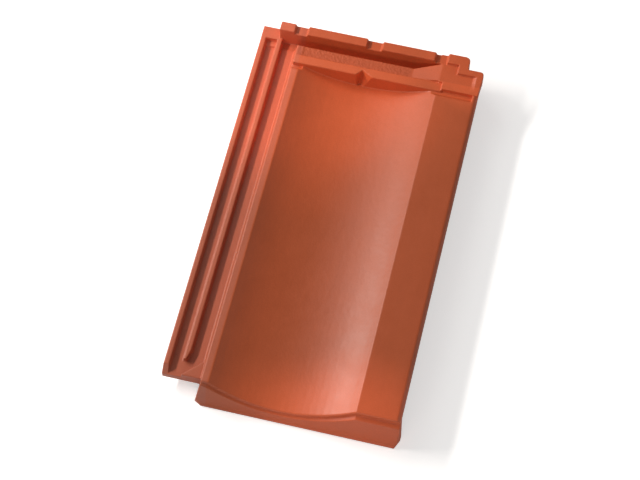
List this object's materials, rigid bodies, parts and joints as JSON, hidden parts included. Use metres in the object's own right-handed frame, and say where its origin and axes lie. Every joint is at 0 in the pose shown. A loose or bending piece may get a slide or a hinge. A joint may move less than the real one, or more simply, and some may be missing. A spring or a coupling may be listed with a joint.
{
  "type": "clay roof tile",
  "caption": "Pressed clay roof tile with one wide trough, a flat covering crown, a grooved side lock, a head lock and a turned-down skirt at the foot.",
  "frame": {"origin": "bottom centre of the tile's box, on the floor that it lies on", "axes": "+Y up the roof from the skirt to the head lock, +X towards the covering crown, +Z away from the roof"},
  "size_m": [0.2624, 0.467, 0.046],
  "materials": {
    "engobed_clay": "matt to silky red clay slip, fired"
  },
  "bodies": {
    "root": {"roof_tile": "engobed_clay"}
  },
  "joints": []
}
